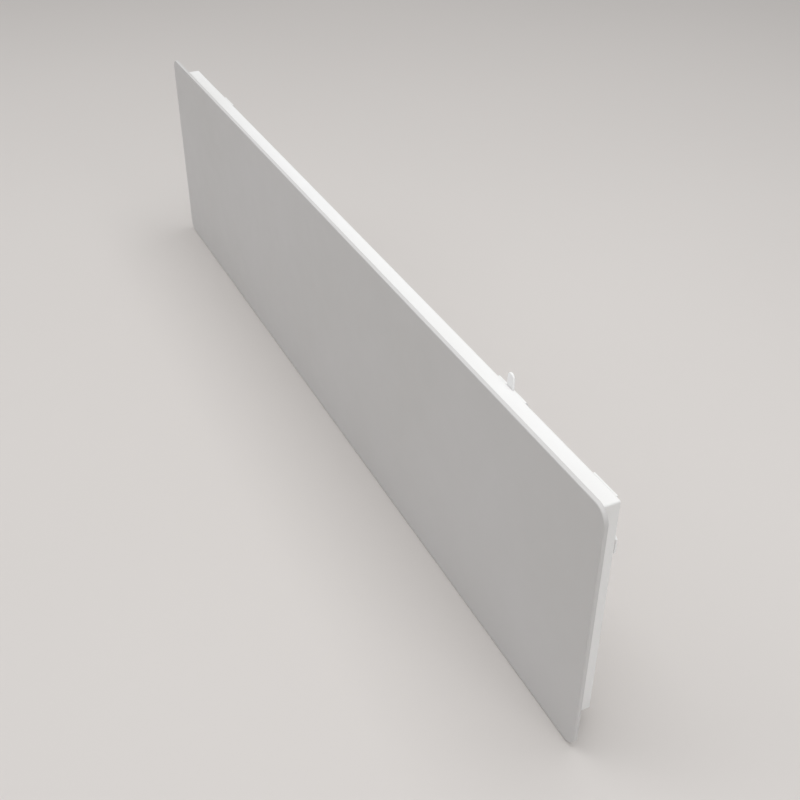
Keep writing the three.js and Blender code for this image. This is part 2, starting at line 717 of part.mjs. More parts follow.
// Each lead goes square into what it meets; its route bends through the points between.
const leads = {
  lead_live: {
    finish: "brownLead",
    points: [
      [pole(1), floorLead, terminalTop], [pole(1), floorLead, terminalTop + 3],
      [pole(1) + 8, floorLead, switchZ - 5], [switchBackX - 8, floorLead, switchZ - 5],
      [switchBackX, floorLead, switchZ - 5],
    ],
  },
  lead_switched: {
    finish: "brownLead",
    points: [
      [switchBackX, floorLead, switchZ + 5], [switchBackX - 8, floorLead, switchZ + 5],
      [leadHole[0] + 26, floorLead, leadHole[1] + 3], [leadHole[0] + 6, floorLead - 2, leadHole[1] + 3],
      [leadHole[0] + 2.6, caseBackY - 1, leadHole[1] + 2.6], [leadHole[0] - 5, leadY, leadHole[1]],
      [leadHole[0] - 30, leadY, leadHole[1] - 8], [bladeX(0, 1) + 30, leadY, cutoutPlaces[0][1]],
      [bladeX(0, 1) + 4, leadY, cutoutPlaces[0][1]], [bladeX(0, 1) + 0.4, leadY - 3, cutoutPlaces[0][1]],
      [bladeX(0, 1), bladeTopY + fit, cutoutPlaces[0][1]],
    ],
  },
  lead_link: {
    finish: "brownLead",
    points: [
      [bladeX(0, -1), bladeTopY + fit, cutoutPlaces[0][1]],
      [bladeX(0, -1) - 0.4, leadY - 3, cutoutPlaces[0][1]],
      [bladeX(0, -1) - 4, leadY, cutoutPlaces[0][1]], [0, leadY, cutoutPlaces[0][1] + 6],
      [bladeX(1, 1) + 4, leadY, cutoutPlaces[1][1]], [bladeX(1, 1) + 0.4, leadY - 3, cutoutPlaces[1][1]],
      [bladeX(1, 1), bladeTopY + fit, cutoutPlaces[1][1]],
    ],
  },
  lead_mat: {
    finish: "brownLead",
    points: [
      [bladeX(1, -1), bladeTopY + fit, cutoutPlaces[1][1]],
      [bladeX(1, -1) - 0.4, leadY - 3, cutoutPlaces[1][1]],
      [bladeX(1, -1) - 4, leadY, cutoutPlaces[1][1]],
      [bladeX(1, -1) - matLeadRun * 0.6, leadY, caseMiddle + busZ * 0.6],
      [bladeX(1, -1) - matLeadRun + leadTurn, leadY - 2, caseMiddle + busZ],
      [bladeX(1, -1) - matLeadRun, leadY - 8, caseMiddle + busZ],
      [bladeX(1, -1) - matLeadRun, matBackY + busThickness + fit, caseMiddle + busZ],
    ],
  },
  lead_neutral: {
    finish: "blueLead",
    points: [
      [pole(0), floorLead, terminalTop], [pole(0), floorLead, terminalTop + 8],
      [leadHole[0] + 14, floorLead, leadHole[1] - 5], [leadHole[0] + 4, floorLead - 3, leadHole[1] - 3.4],
      [leadHole[0] + 1, caseBackY - 1, leadHole[1] - 3.2], [leadHole[0] - 6, leadY, leadHole[1] - 12],
      [leadHole[0] - neutralLeadRun * 0.3, leadY, (leadHole[1] + caseMiddle - busZ) / 2],
      [leadHole[0] - neutralLeadRun * 0.6, leadY, caseMiddle - busZ + busWidth],
      [leadHole[0] - neutralLeadRun + leadTurn, leadY - 1, caseMiddle - busZ],
      [leadHole[0] - neutralLeadRun, leadY - 8, caseMiddle - busZ],
      [leadHole[0] - neutralLeadRun, matBackY + busThickness + fit, caseMiddle - busZ],
    ],
  },
  lead_earth: {
    finish: "greenLead",
    points: [
      [pole(-1), floorLead, terminalTop], [pole(-1), floorLead, terminalTop + 6],
      [pole(-1) - 8, floorLead, terminalTop + 10],
      [earthPlace[0], floorLead - 3, earthPlace[1] + screwHeadRadius + 12],
      [earthPlace[0], boxFloorY + leadRadius + fit, earthPlace[1] + screwHeadRadius + 4],
      [earthPlace[0], boxFloorY + leadRadius + fit, earthPlace[1] + screwHeadRadius + fit],
    ],
  },
};
for (const [name, { finish, points }] of Object.entries(leads)) {
  const steps = 3 * (points.length - 1);
  add(name, solid(wire(points, leadRadius, leadSides, steps)), finish);
}

// ---- spacers that hold the heater's lower edge off the wall ----
for (const [name, side] of [["wall_spacer_left", -1], ["wall_spacer_right", 1]]) {
  const profile = [
    [0, caseInnerY - 5], [spacerStud - 0.6, caseInnerY - 5], [spacerStud, caseInnerY - 3],
    [spacerStud, caseBackY], [spacerRadius, caseBackY], [spacerRadius, caseBackY + 3],
    [spacerWaist, caseBackY + 6], [spacerWaist, -4], [spacerWaist - 1, -fit], [0, -fit],
  ];
  add(name, turned(profile, side * spacerX, caseBottom + postEdge, 24), "greyRubber");
}

// ---- wall rail: a strip with folded lips, notched where the arms stand ----
function wallRail() {
  const half = railHeight / 2;
  const section = [
    [0, -half], [0, half], [-railLip, half], [-railLip, half - railSheet], [-railSheet, half - railSheet],
    [-railSheet, railSheet - half], [-railLip, railSheet - half], [-railLip, -half],
  ];
  const notches = armPlaces.map(({ x, width }) => slab(
    x - width / 2 - fit, x + width / 2 + fit, -railLip - 1, -railSheet, -armFoot - fit, half + 1,
  ));
  const holes = [];
  for (const end of [-1, 1]) {
    for (const side of [-1, 1]) {
      const x = end * (railHalf - railHolesFromEnd) + (side * railHolePairGap) / 2;
      holes.push(rodY(railHoleRadius, x, 0, -railSheet - 1, 1, 16));
    }
  }
  for (const { x, width } of armPlaces) holes.push(...rivetHoles(x, width));
  // Flat ends: the lips stop short and the corners are cut off.
  const ends = [];
  for (const end of [-1, 1]) {
    const [stop, beyond] = [end * (railHalf - railLipFromEnd), end * (railHalf + 1)];
    const [x0, x1] = [Math.min(stop, beyond), Math.max(stop, beyond)];
    ends.push(slab(x0, x1, -railLip - 1, -railSheet, -half - 1, half + 1));
    for (const side of [-1, 1]) {
      const corner = outline([
        [end * railHalf, side * (half - railCorner)], [end * (railHalf - railCorner), side * half],
        [end * (railHalf - railCorner), side * (half + 1)], [beyond, side * (half + 1)],
        [beyond, side * (half - railCorner)],
      ]);
      ends.push(alongY(corner, -railSheet - 1, 1));
    }
  }
  return cut(alongX(section, -railHalf, railHalf), ...notches, ...holes, ...ends);
}

function rivetHoles(x, width) {
  return [-1, 1].map((side) => rodY(
    rivetRadius + 0.1, x + side * (width / 2 - rivetInset), 0, armFrontY - 1, 1, 12,
  ));
}
add("wall_rail", wallRail(), "whitePowderCoat");

// ---- hook arms: each carries the case on two hooks ----
function hookArm(place) {
  const half = hookArmWidth / 2;
  const plate = slab(place - half, place + half, armFrontY, -railSheet, -armFoot, armRise);
  const throatFrontY = caseInnerY - 0.4;
  const throatBackY = caseBackY + 0.6;
  const tipY = caseInnerY - hookReach;
  const under = hookThroat - hookNeck;
  const profile = [
    [-railSheet, 0], [armFrontY, 0], [throatBackY + 4, under], [tipY + 2, under], [tipY, under + 2],
    [tipY, hookThroat + hookTip - 3], [tipY + 2, hookThroat + hookTip],
    [throatFrontY, hookThroat + hookTip], [throatFrontY, hookThroat], [throatBackY, hookThroat],
    [throatBackY, hookThroat + hookTip], [throatBackY + 7, armRise - 3], [armFrontY - 2, armRise],
    [-railSheet, armRise],
  ];
  const flanges = [place - half, place + half - armSheet].map((x) => alongX(profile, x, x + armSheet));
  return cut(join(plate, ...flanges), ...rivetHoles(place, hookArmWidth));
}
add("hook_arm_left", hookArm(hookPlaces[0]), "whitePowderCoat");
add("hook_arm_right", hookArm(hookPlaces[1]), "whitePowderCoat");

// ---- lock arm: two cheeks that carry the lever's pin, with lips behind the case's back ----
const [cheekLeft, cheekRight] = [lockArmX - lockArmWidth / 2, lockArmX + lockArmWidth / 2];
function lockArm() {
  const plate = slab(cheekLeft, cheekRight, armFrontY, -railSheet, -armFoot, lockPlateRise);
  const profile = [
    [-railSheet, 0], [armFrontY, 0], [lipFrontY, lockLipFoot], [lipFrontY, lipTop], [lipBackY, lipTop],
    [armFrontY, lockPlateRise], [-railSheet, lockPlateRise],
  ];
  const cheeks = [cheekLeft, cheekRight - armSheet].map((x) => alongX(profile, x, x + armSheet));
  // The lips are folded inwards and leave a slot for the lever.
  const slotHalf = leverWidth / 2 + lockLipSlot;
  const lips = [[cheekLeft, leverX - slotHalf], [leverX + slotHalf, cheekRight]].map(
    ([x0, x1]) => slab(x0, x1, lipFrontY, lipBackY, lockLipFoot, lipTop),
  );
  const pinHole = rodX(pinRadius + pinBore, -pinInFromWall, pinHeight, cheekLeft - 1, cheekRight + 1, 16);
  return cut(join(plate, ...cheeks, ...lips), pinHole, ...rivetHoles(lockArmX, lockArmWidth));
}
add("lock_arm", lockArm(), "whitePowderCoat");

armPlaces.forEach(({ x, width }, arm) => {
  [-1, 1].forEach((side, n) => {
    const profile = [
      [0, 0], [rivetRadius, 0], [rivetRadius, armFrontY], [rivetHeadRadius, armFrontY],
      [rivetHeadRadius * 0.85, armFrontY - rivetHeadHeight * 0.7], [0, armFrontY - rivetHeadHeight],
    ];
    const rivet = turned(profile, x + side * (width / 2 - rivetInset), 0, 14);
    add(`arm_rivet_${2 * arm + n + 1}`, rivet, "zincSteel");
  });
});

// ---- lock pin, lever and spring ----
const lockPin = join(
  rodX(pinRadius, -pinInFromWall, pinHeight, cheekLeft - pinHead, cheekRight + pinHead),
  rodX(pinRadius + pinHead, -pinInFromWall, pinHeight, cheekLeft - pinHead, cheekLeft),
  rodX(pinRadius + pinHead, -pinInFromWall, pinHeight, cheekRight, cheekRight + pinHead),
);
add("lock_pin", lockPin, "zincSteel");

function lockLever() {
  const half = leverWidth / 2;
  const [x0, x1] = [leverX - half, leverX + half];
  const pinY = -pinInFromWall;
  const [limbBackY, limbFrontY] = [pinY + limbThickness / 2, pinY - limbThickness / 2];
  const noseTipY = caseInnerY - noseReach;
  // The tongue stands upright behind the case, with a round top.
  const tongueTop = caseTop + tongueRise;
  const shape = new THREE.Shape();
  shape.moveTo(x0, noseFoot);
  shape.lineTo(x1, noseFoot);
  shape.lineTo(x1, tongueTop - half);
  shape.absarc(leverX, tongueTop - half, half, 0, Math.PI);
  shape.closePath();
  const tongue = alongY(shape, lipFrontY, lipFrontY + tongueThickness, 12);
  // A limb rises from the barrel and turns forward into the nose, whose ramp faces up.
  const limb = alongX(
    [[limbBackY, pinHeight], [limbBackY, noseTop - 3], [limbFrontY, noseTop], [caseBackY + 1, noseTop],
      [noseTipY, noseFoot + noseTipHeight], [noseTipY, noseFoot - noseCatch / 2],
      [noseTipY + 1, noseFoot - noseCatch], [caseInnerY - 0.6, noseFoot - noseCatch],
      [caseInnerY - 0.4, noseFoot], [limbFrontY, noseFoot], [limbFrontY, pinHeight]],
    x0, x1,
  );
  // Its shoulders come to rest behind the lips when the case is away.
  const shoulderY = lipBackY + fit;
  const shoulders = slab(
    x0 - shoulderSide, x1 + shoulderSide, shoulderY, shoulderY + shoulderDepth, noseFoot, noseTop - 2,
  );
  const barrel = rodX(barrelRadius, pinY, pinHeight, x0 - barrelSide, x1 + barrelSide, 20);
  const bore = rodX(pinRadius + pinBore, pinY, pinHeight, x0 - 3, x1 + 3, 20);
  return cut(join(tongue, limb, shoulders, barrel), bore);
}
add("lock_lever", lockLever(), "whitePlastic");

// One unbroken wire: a leg behind the lever's limb, the coil round the pin, a leg to the arm's plate.
function lockSpring() {
  const startX = leverX + leverWidth / 2 + barrelSide + springWire;
  const [pinY, pinZ] = [-pinInFromWall, pinHeight];
  const legY = pinY + limbThickness / 2 + springWire / 2 + springSeat;
  const legZ = pinZ + springLeg;
  const points = [
    [leverX + leverWidth / 2 - springHook, legY, legZ],
    [leverX + leverWidth / 2, legY, legZ],
    [startX, legY + springWire, legZ - springWire * 2],
    [startX, pinY + springRadius, pinZ + springRadius],
  ];
  const stepsPerTurn = 8;
  const leave = Math.PI / 5; // the coil leaves this far short of a whole turn
  const turnAngle = 2 * Math.PI * springTurns - leave;
  const count = Math.round((turnAngle / (2 * Math.PI)) * stepsPerTurn);
  for (let i = 0; i <= count; i++) {
    const angle = (turnAngle * i) / count;
    const x = startX + (springPitch * angle) / (2 * Math.PI);
    points.push([x, pinY + springRadius * Math.cos(angle), pinZ - springRadius * Math.sin(angle)]);
  }
  const [endX, endY, endZ] = points[points.length - 1];
  const plateY = armFrontY - springWire / 2 - springSeat;
  const drop = (plateY - endY) / Math.tan(leave);
  points.push([endX, (endY + plateY) / 2, endZ - drop / 2], [endX, plateY, endZ - drop]);
  return points;
}

// Least clear distance between two stretches of the spring's wire that are a third of a turn apart.
function leastGap(points, diameter, apart) {
  const path = routeThrough(points).getSpacedPoints(points.length * 6);
  let least = Infinity;
  let walked = 0;
  const along = path.map((p, i) => (walked += i ? p.distanceTo(path[i - 1]) : 0));
  for (let i = 0; i < path.length; i++) {
    for (let j = i + 1; j < path.length; j++) {
      if (along[j] - along[i] > apart) least = Math.min(least, path[i].distanceTo(path[j]));
    }
  }
  return least - diameter;
}
const springPoints = lockSpring();
const springGap = leastGap(springPoints, springWire, springRadius * 2);
console.log(`lock spring: least gap to itself ${springGap.toFixed(2)} mm`);
add("lock_spring", solid(wire(springPoints, springWire / 2, 5, springPoints.length - 1)), "zincSteel");

export default heater;
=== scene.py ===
import bmesh
import bpy
import numpy as np
from mathutils import Matrix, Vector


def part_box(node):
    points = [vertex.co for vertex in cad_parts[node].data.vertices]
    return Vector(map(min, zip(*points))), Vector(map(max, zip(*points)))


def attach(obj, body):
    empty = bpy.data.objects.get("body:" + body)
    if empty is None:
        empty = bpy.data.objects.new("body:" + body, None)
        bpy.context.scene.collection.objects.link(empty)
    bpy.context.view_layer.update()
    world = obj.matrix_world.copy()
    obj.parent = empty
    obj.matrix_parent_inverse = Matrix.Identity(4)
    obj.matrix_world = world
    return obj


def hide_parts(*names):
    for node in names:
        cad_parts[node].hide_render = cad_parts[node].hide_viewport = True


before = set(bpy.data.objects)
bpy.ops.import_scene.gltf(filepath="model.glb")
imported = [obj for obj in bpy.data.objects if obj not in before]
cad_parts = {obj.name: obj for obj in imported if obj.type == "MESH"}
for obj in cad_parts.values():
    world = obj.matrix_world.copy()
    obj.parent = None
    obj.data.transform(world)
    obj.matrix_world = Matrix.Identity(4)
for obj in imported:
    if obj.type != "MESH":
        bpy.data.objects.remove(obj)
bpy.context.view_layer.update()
mm = 0.001
print("frame loaded:", len(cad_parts), "nodes")


# ---- the camera of the photograph ----
# It stands before the heater's right end and looks down along the plate.
camera = {
    "place": (1.1234, -0.4939, 0.6832),  # metres
    "azimuth": 64.2299,  # degrees from straight into the wall, towards the left
    "down": 35.4796,  # degrees below level
    "roll": -0.1236,  # degrees
    "lens": 50,  # millimetres, and so is the sensor's width
    "sensor": 36,
    "reach": 100,  # metres: nothing is farther away than this
}


def cameraMatrix(settings):
    # forward from the two angles, then right and down turned about it by the roll
    azimuth, down, roll = np.radians([settings["azimuth"], settings["down"], settings["roll"]])
    level = np.cos(down)
    forward = np.array([-np.sin(azimuth) * level, np.cos(azimuth) * level, -np.sin(down)])
    right = np.cross(forward, (0, 0, 1))
    right /= np.linalg.norm(right)
    below = np.cross(forward, right)
    turnedRight = right * np.cos(roll) + below * np.sin(roll)
    turnedBelow = below * np.cos(roll) - right * np.sin(roll)
    matrix = np.eye(4)
    matrix[:3, 0] = turnedRight
    matrix[:3, 1] = -turnedBelow
    matrix[:3, 2] = -forward
    matrix[:3, 3] = settings["place"]
    return Matrix(matrix.tolist())


scene = bpy.context.scene
scene.view_settings.view_transform = "Standard"
lensData = bpy.data.cameras.new("photoCamera")
lensData.lens = camera["lens"]
lensData.sensor_width = camera["sensor"]
lensData.clip_end = camera["reach"]
photoCamera = bpy.data.objects.new("photoCamera", lensData)
scene.collection.objects.link(photoCamera)
photoCamera.matrix_world = cameraMatrix(camera)
scene.camera = photoCamera
print("camera placed")


# ---- light: a pale room and soft boxes, most of it from above, the right and the room's side ----
studio = {
    "room": 0.44,  # radiance of the pale room all round
    "floorColour": "#d7d3d0",
    "floorShade": "#d5d1ce",
    "floorSpan": 14,  # metres
    "floorGap": 0.6 * mm,  # the floor lies this far under the plate's edge: a thin dark line
    "floorPoints": 9,
    "aim": (0.1, 0.0, -0.1),  # the point that every box faces
    "boxes": {  # place, side of the square in metres, power in watts
        "overhead": ((0.0, 0.1, 2.4), 2.2, 30.8),
        "rightBox": ((2.6, 0.0, 2.0), 2.0, 21),
        "roomSideBox": ((-1.5, -2.2, 2.4), 2.4, 19),
        "wallSideBox": ((1.0, 1.0, 2.5), 2.0, 1.7),
    },
}


def linearColour(hexColour):
    # each sRGB channel of a hex colour, turned to linear light
    channels = np.array([int(hexColour[i : i + 2], 16) / 255 for i in (1, 3, 5)])
    linear = np.where(channels <= 0.04045, channels / 12.92, ((channels + 0.055) / 1.055) ** 2.4)
    return (*[float(value) for value in linear], 1.0)


def addNode(tree, kind, inputs=None, **settings):
    # one shader node with its settings; each input is a value or another node's socket
    node = tree.nodes.new(kind)
    for name, value in settings.items():
        setattr(node, name, value)
    for name, value in (inputs or {}).items():
        if isinstance(value, bpy.types.NodeSocket):
            tree.links.new(value, node.inputs[name])
        else:
            node.inputs[name].default_value = value
    return node


def hangLight(name, place, size, power):
    # a square area light at its place, facing the studio's aim
    data = bpy.data.lights.new(name, "AREA")
    data.shape = "SQUARE"
    data.size = size
    data.energy = power
    lamp = bpy.data.objects.new(name, data)
    scene.collection.objects.link(lamp)
    back = np.array(place, float) - np.array(studio["aim"], float)
    back /= np.linalg.norm(back)
    side = np.cross((0, 1, 0), back)
    side /= np.linalg.norm(side)
    matrix = np.eye(4)
    matrix[:3, :3] = np.stack([side, np.cross(back, side), back], axis=1)
    matrix[:3, 3] = place
    lamp.matrix_world = Matrix(matrix.tolist())


room = bpy.data.worlds.new("paleRoom")
room.use_nodes = True
room.node_tree.nodes["Background"].inputs["Color"].default_value = (1, 1, 1, 1)
room.node_tree.nodes["Background"].inputs["Strength"].default_value = studio["room"]
scene.world = room
for name, values in studio["boxes"].items():
    hangLight(name, *values)
print("lights hung")


# ---- mesh helpers ----
sameSpot = {"made": 1e-7, "cad": 2e-6}  # metres: points of a mesh that are closer are merged
flatWithin = 1  # degrees: CAD faces this near to one plane become one polygon


def meshObject(name, points, faces):
    # a mesh from its points and faces, linked to the scene
    mesh = bpy.data.meshes.new(name)
    mesh.from_pydata(points.tolist(), [], faces)
    mesh.update()
    piece = bpy.data.objects.new(name, mesh)
    scene.collection.objects.link(piece)
    return piece


def gridObject(name, grid, closeU=True, closeV=False, capStart=True, capEnd=True):
    # a surface from a grid of points: rows along v, columns round u; its end rows can be filled
    rows, columns = grid.shape[:2]
    index = np.arange(rows * columns).reshape(rows, columns)
    nextU = np.roll(index, -1, axis=1)
    nextV = np.roll(index, -1, axis=0)
    corner = np.roll(nextV, -1, axis=1)
    quads = np.stack([index, nextU, corner, nextV], axis=2)
    quads = quads[: rows if closeV else rows - 1, : columns if closeU else columns - 1]
    faces = quads.reshape(-1, 4).tolist()
    if capStart and not closeV:
        faces.append(index[0, ::-1].tolist())
    if capEnd and not closeV:
        faces.append(index[-1].tolist())
    return meshObject(name, grid.reshape(-1, 3), faces)


def faceOut(piece, sharpAngle=35):
    # merges doubled points, turns the faces outward and keeps edges over the angle crisp
    body = bmesh.new()
    body.from_mesh(piece.data)
    bmesh.ops.remove_doubles(body, verts=body.verts, dist=sameSpot["made"])
    bmesh.ops.recalc_face_normals(body, faces=body.faces)
    body.to_mesh(piece.data)
    body.free()
    piece.data.shade_smooth()
    piece.data.set_sharp_from_angle(angle=np.radians(sharpAngle))
    return piece


def arc(centre, radius, start, end, steps):
    # centre plus radius times cosine and sine, from one angle to another in degrees
    angles = np.radians(np.linspace(start, end, steps + 1))
    rays = np.stack([np.cos(angles), np.sin(angles)], axis=1)
    return np.array(centre) + radius * rays


def turnedPiece(name, profile, centre, axis="y", sides=64, radiusAt=None):
    # a profile of (radius, height) pairs carried round an axis; the radius may vary with the angle
    profile = np.asarray(profile, float)
    angle = np.linspace(0, 2 * np.pi, sides, endpoint=False)
    radius = profile[:, :1] * np.ones(sides)
    if radiusAt is not None:
        radius = radiusAt(radius, angle)
    height = profile[:, 1:] * np.ones(sides)
    first, second = radius * np.cos(angle), radius * np.sin(angle)
    layout = {
        "x": (height, first, second), "y": (first, height, second), "z": (first, second, height),
    }
    grid = np.stack(layout[axis], axis=2) + np.array(centre)
    closed = bool(np.allclose(profile[0], profile[-1]))
    if closed:
        grid = grid[:-1]
    return faceOut(gridObject(name, grid, closeV=closed))


def tubePiece(name, path, radius, reference, sides=16):
    # a circle of the wire's radius carried along the path, square to its direction;
    # the path never runs along the reference, from which the circle's own axes are made
    path = np.asarray(path, float)
    along = np.gradient(path, axis=0)
    along /= np.linalg.norm(along, axis=1, keepdims=True)
    across = np.cross(along, np.asarray(reference, float))
    across /= np.linalg.norm(across, axis=1, keepdims=True)
    other = np.cross(along, across)
    angle = np.linspace(0, 2 * np.pi, sides, endpoint=False)[None, :, None]
    rays = np.cos(angle) * across[:, None] + np.sin(angle) * other[:, None]
    return faceOut(gridObject(name, path[:, None] + radius * rays), sharpAngle=60)


def softenedCopy(node, name, width, segments=3, angle=30):
    # the node's own faces merged into flat polygons, with a small round on every crisp edge
    body = bmesh.new()
    body.from_mesh(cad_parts[node].data)
    bmesh.ops.remove_doubles(body, verts=body.verts, dist=sameSpot["cad"])
    flat = np.radians(flatWithin)
    bmesh.ops.dissolve_limit(body, angle_limit=flat, verts=body.verts, edges=body.edges)
    mesh = bpy.data.meshes.new(name)
    body.to_mesh(mesh)
    body.free()
    piece = bpy.data.objects.new(name, mesh)
    scene.collection.objects.link(piece)
    mesh.shade_smooth()
    mesh.set_sharp_from_angle(angle=np.radians(angle))
    bevel = piece.modifiers.new("roundedEdges", "BEVEL")
    bevel.width = width
    bevel.segments = segments
    bevel.limit_method = "ANGLE"
    bevel.angle_limit = np.radians(angle)
    bevel.harden_normals = True
    bevel.use_clamp_overlap = True
    return piece


def dress(piece, material, slotName, bodyName, *nodes):
    # gives a finished piece its material and body, and lets it stand for its CAD nodes
    piece.data.materials.clear()
    piece.data.materials.append(material)
    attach(piece, bodyName)
    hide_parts(*nodes)


# ---- materials ----
# Each finish has the shader's plain values and two sRGB colours. Clouds of a size and detail blend
# the colours, smears set the roughness between its two values, and grit, with a size, detail and
# depth, is the bump. A stretch scales the pattern along x, y and z.
powderCoat = {
    "values": {"IOR": 1.5},
    "clouds": (180 * mm, 2.0),
    "smears": (25 * mm, 3.0),
    "roughness": (0.5, 0.6),
    "grit": (2.2 * mm, 2.0, 0.012 * mm),  # orange peel; really 0.8 mm, coarser so that it shows
}
moulding = {
    "values": {"IOR": 1.53},
    "clouds": (30 * mm, 2.0),
    "smears": (8 * mm, 3.0),
    "roughness": (0.37, 0.5),
    "grit": (0.6 * mm, 2.0, 0.02 * mm),  # the mould's spark-eroded grain
}
translucent = {"IOR": 1.53, "Subsurface Weight": 1, "Subsurface Radius": (1, 1, 1)}
curedRubber = {
    "values": {"IOR": 1.52},
    "clouds": (6 * mm, 5.0),
    "smears": (14 * mm, 3.0),
    "roughness": (0.72, 0.9),
    "grit": (0.8 * mm, 3.0, 0.03 * mm),
}
rolling = {
    "values": {"Metallic": 1.0},
    "stretch": (0.02, 1, 1),
    "clouds": (0.8 * mm, 3.0),
    "smears": (1.2 * mm, 3.0),
    "grit": (0.8 * mm, 3.0, 0.01 * mm),
}
finishes = {
    # Steel sheet with a baked polyester powder coat: matt, nearly even white, a faint orange peel.
    "whitePowderCoatedSteel": {**powderCoat, "colours": ("#f3f3f3", "#efefee")},
    # The radiating plate's coat is greyer, and as matt and even.
    "greyWhitePowderCoatedSteel": {**powderCoat, "colours": ("#d0cfcf", "#cdcccb")},
    # Injection-moulded ABS: a warm satin white with a fine even grain and slightly soft edges.
    "whiteAbsMoulded": {
        **moulding,
        "values": {**translucent, "Subsurface Scale": 0.5 * mm},
        "colours": ("#ecebe8", "#e8e7e4"),
    },
    # Injection-moulded nylon without colour: milky, because light wanders some way into it.
    "milkyNylonMoulded": {
        **moulding,
        "values": {**translucent, "Subsurface Scale": 1.5 * mm},
        "colours": ("#ffffff", "#fdfdfc"),
    },
    # Injection-moulded nylon with carbon black: nearly black, its grain shows as a grey satin.
    "blackNylonMoulded": {**moulding, "colours": ("#232324", "#1b1b1c"), "roughness": (0.4, 0.53)},
    # The same in mid grey, as cable glands have it.
    "greyNylonMoulded": {**moulding, "colours": ("#8d8e8c", "#868785"), "roughness": (0.35, 0.48)},
    # Cold-headed steel with bright zinc plate: bluish silver, clouded where the bath ran thin.
    "zincPlatedSteel": {
        "values": {"Metallic": 1.0},
        "colours": ("#c9cccf", "#aeb4bb"),
        "clouds": (3 * mm, 4.0),
        "smears": (1.6 * mm, 3.0),
        "roughness": (0.24, 0.4),
        "grit": (0.4 * mm, 3.0, 0.008 * mm),
    },
    # Spring steel drawn through a die: darker than the plate, with streaks too fine to see apart.
    "drawnSpringWire": {
        "values": {"Metallic": 1.0},
        "colours": ("#a7a9ab", "#8f9194"),
        "clouds": (1.2 * mm, 4.0),
        "smears": (2.5 * mm, 2.0),
        "roughness": (0.25, 0.38),
        "grit": (0.3 * mm, 2.0, 0.004 * mm),
    },
    # Cured rubber from a mould: dull, a little dusty, with no clear highlight.
    "greyEpdmMoulded": {**curedRubber, "colours": ("#7e7e7c", "#737371")},
    # Silicone sheet rolled out over a heating wire: brick red and dull.
    "siliconeCalendered": {**curedRubber, "colours": ("#7f3b2c", "#733527")},
    # Silicone drawn out round copper strands: dull, in the colours that tell the leads apart.
    "brownSiliconeExtruded": {**curedRubber, "colours": ("#5e3b26", "#54341f")},
    "blueSiliconeExtruded": {**curedRubber, "colours": ("#2f5e97", "#29548a")},
    "greenSiliconeExtruded": {**curedRubber, "colours": ("#4d8c3b", "#437d33")},
    # Rolled copper strip: warm metal, streaked along the heater, the way it was rolled.
    "copperRolled": {**rolling, "colours": ("#c98a63", "#b97a55"), "roughness": (0.28, 0.4)},
    # Rolled aluminium foil: brighter and smoother, with the same streaks.
    "aluminiumFoilRolled": {**rolling, "colours": ("#e2e3e4", "#d3d5d7"), "roughness": (0.2, 0.32)},
    # Mineral fibre bonded and pressed into board: matted threads about 2 mm apart, no shine.
    "mineralFibrePressed": {
        "values": {"IOR": 1.45},
        "colours": ("#b3a577", "#94875c"),
        "stretch": (0.25, 1, 1),
        "clouds": (2 * mm, 6.0),
        "smears": (2 * mm, 6.0),
        "roughness": (0.9, 1.0),
        "grit": (2 * mm, 6.0, 0.4 * mm),
    },
    # Painted studio floor, swept clean: matt and pale, with clouds so soft that it looks even.
    "studioFloorPainted": {
        "values": {"IOR": 1.45, "Specular IOR Level": 0.2},
        "colours": (studio["floorColour"], studio["floorShade"]),
        "clouds": (900 * mm, 1.0),
        "smears": (300 * mm, 2.0),
        "roughness": (0.85, 0.95),
        "grit": (1.5 * mm, 2.0, 0.01 * mm),
    },
}


def finishMaterial(name, finish):
    # clouds of noise blend the two colours, smears set the roughness, grit is the bump's height
    material = bpy.data.materials.new(name)
    material.use_nodes = True
    tree = material.node_tree
    tree.nodes.clear()
    shader = addNode(tree, "ShaderNodeBsdfPrincipled", finish["values"])
    addNode(tree, "ShaderNodeOutputMaterial", {"Surface": shader.outputs["BSDF"]})
    place = addNode(tree, "ShaderNodeTexCoord").outputs["Object"]
    if "stretch" in finish:
        mapping = addNode(tree, "ShaderNodeMapping", {"Vector": place, "Scale": finish["stretch"]})
        place = mapping.outputs["Vector"]
    gritSize, gritDetail, gritDepth = finish["grit"]
    noises = []
    for size, detail in (finish["clouds"], finish["smears"], (gritSize, gritDetail)):
        inputs = {"Vector": place, "Scale": 1 / size, "Detail": detail}
        noises.append(addNode(tree, "ShaderNodeTexNoise", inputs).outputs["Fac"])
    clouds, smears, grit = noises
    noiseRange = {"From Min": 0.3, "From Max": 0.7}  # where nearly all of the noise lies
    blend = addNode(tree, "ShaderNodeMapRange", {"Value": clouds, **noiseRange})
    light, shade = [linearColour(colour) for colour in finish["colours"]]
    inputs = {0: blend.outputs["Result"], 6: light, 7: shade}
    mixed = addNode(tree, "ShaderNodeMix", inputs, data_type="RGBA")
    smooth, dull = finish["roughness"]
    inputs = {"Value": smears, **noiseRange, "To Min": smooth, "To Max": dull}
    gloss = addNode(tree, "ShaderNodeMapRange", inputs)
    bump = addNode(tree, "ShaderNodeBump", {"Height": grit, "Distance": gritDepth, "Strength": 1.0})
    tree.links.new(mixed.outputs[2], shader.inputs["Base Color"])
    tree.links.new(gloss.outputs["Result"], shader.inputs["Roughness"])
    tree.links.new(bump.outputs["Normal"], shader.inputs["Normal"])
    return material


materials = {name: finishMaterial(name, finish) for name, finish in finishes.items()}
print("materials made:", len(materials))


